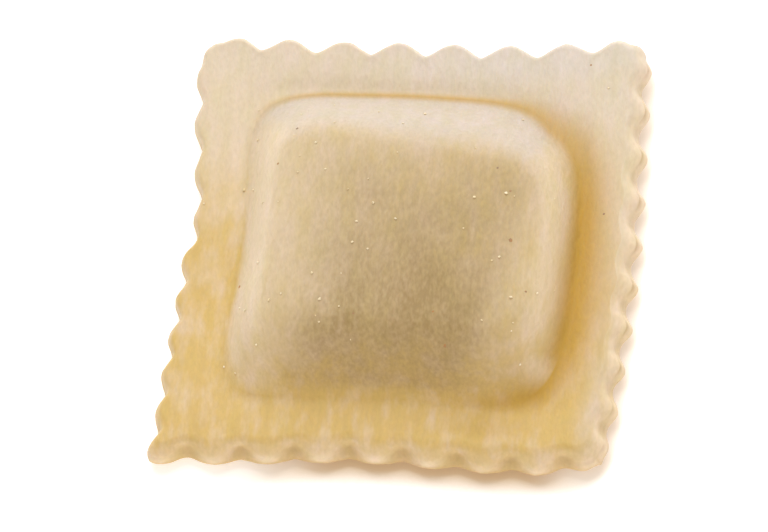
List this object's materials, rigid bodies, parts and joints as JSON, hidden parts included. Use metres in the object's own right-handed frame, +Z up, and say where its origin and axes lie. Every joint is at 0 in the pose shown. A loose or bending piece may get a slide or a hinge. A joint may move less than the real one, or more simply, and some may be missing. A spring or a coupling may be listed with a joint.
{
  "type": "square ravioli",
  "caption": "Square filled pasta parcel with a fluted cut rim round a raised pillow of filling, lying flat.",
  "frame": {"origin": "middle of the footprint, on the table that the raviolo lies on", "axes": "+Z up out of the filled side, +X along the near cut edge, +Y away from it"},
  "size_m": [0.0468, 0.0462, 0.0092],
  "materials": {
    "egg_pasta": "soft floury egg dough, matte, slightly translucent, pale gold with a greyer filling showing through"
  },
  "bodies": {
    "root": {"ravioli": "egg_pasta"}
  },
  "joints": []
}
